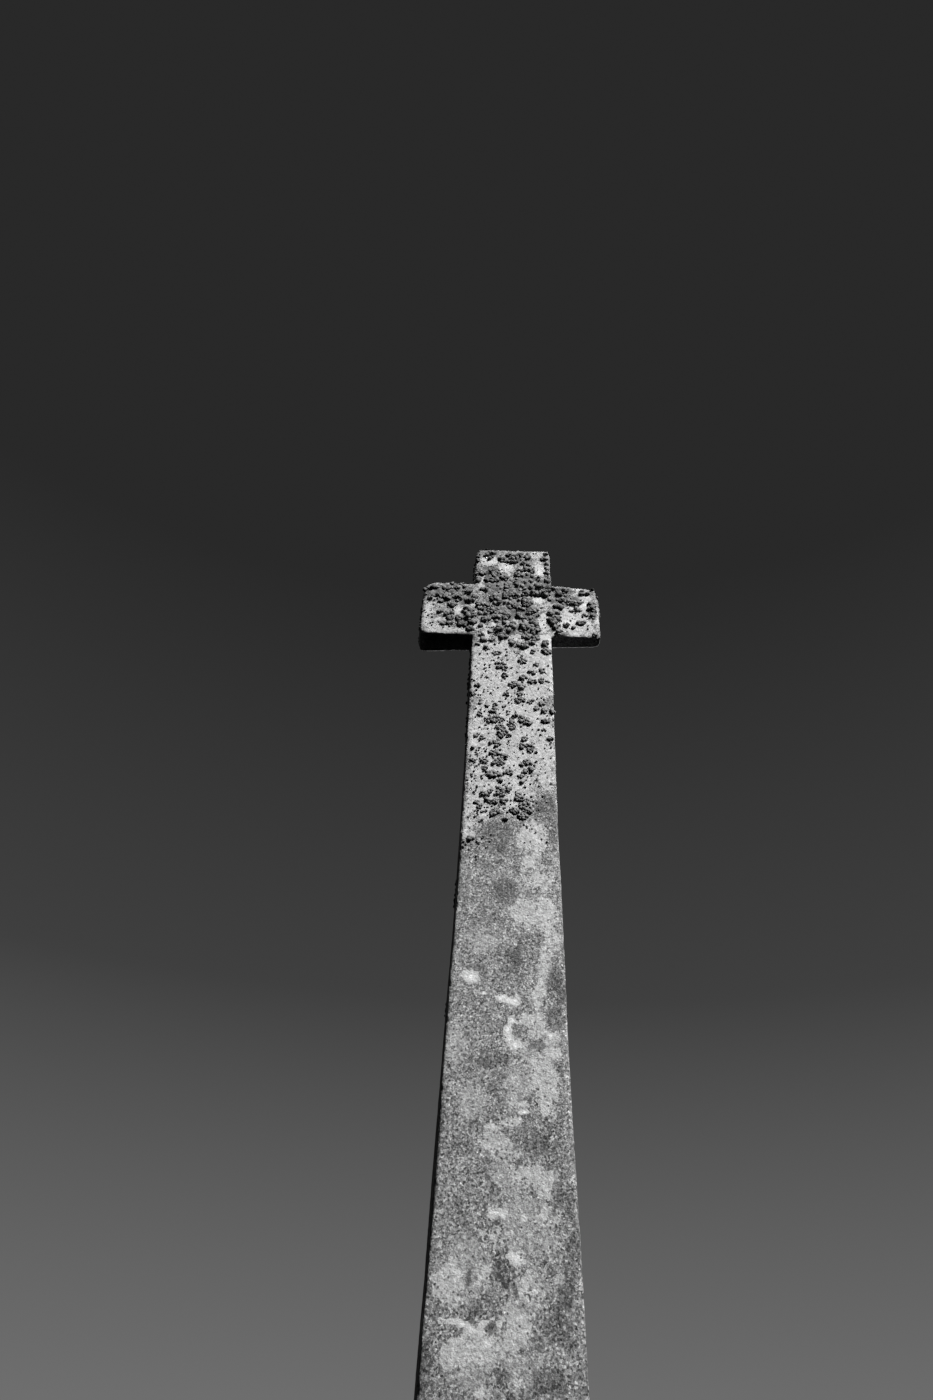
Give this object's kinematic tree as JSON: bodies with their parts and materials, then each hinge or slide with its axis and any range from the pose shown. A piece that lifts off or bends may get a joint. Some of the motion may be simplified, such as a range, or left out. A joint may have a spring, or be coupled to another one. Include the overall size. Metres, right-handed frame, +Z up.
{
  "type": "cross headstone",
  "caption": "Tall plain Latin cross cut from a granite slab, with short square arms and a shaft that widens to its foot, on a low base stone.",
  "frame": {"origin": "on the ground, under the middle of the base stone", "axes": "+Z up along the shaft, +X towards the cross's right arm as its front is seen, the front face towards -Y"},
  "size_m": [0.86, 0.56, 3.6938],
  "materials": {
    "cross_granite": "weathered hand-dressed granite with lichen",
    "base_granite": "weathered rough-dressed granite"
  },
  "bodies": {
    "root": {"cross": "cross_granite", "base_stone": "base_granite"}
  },
  "joints": []
}
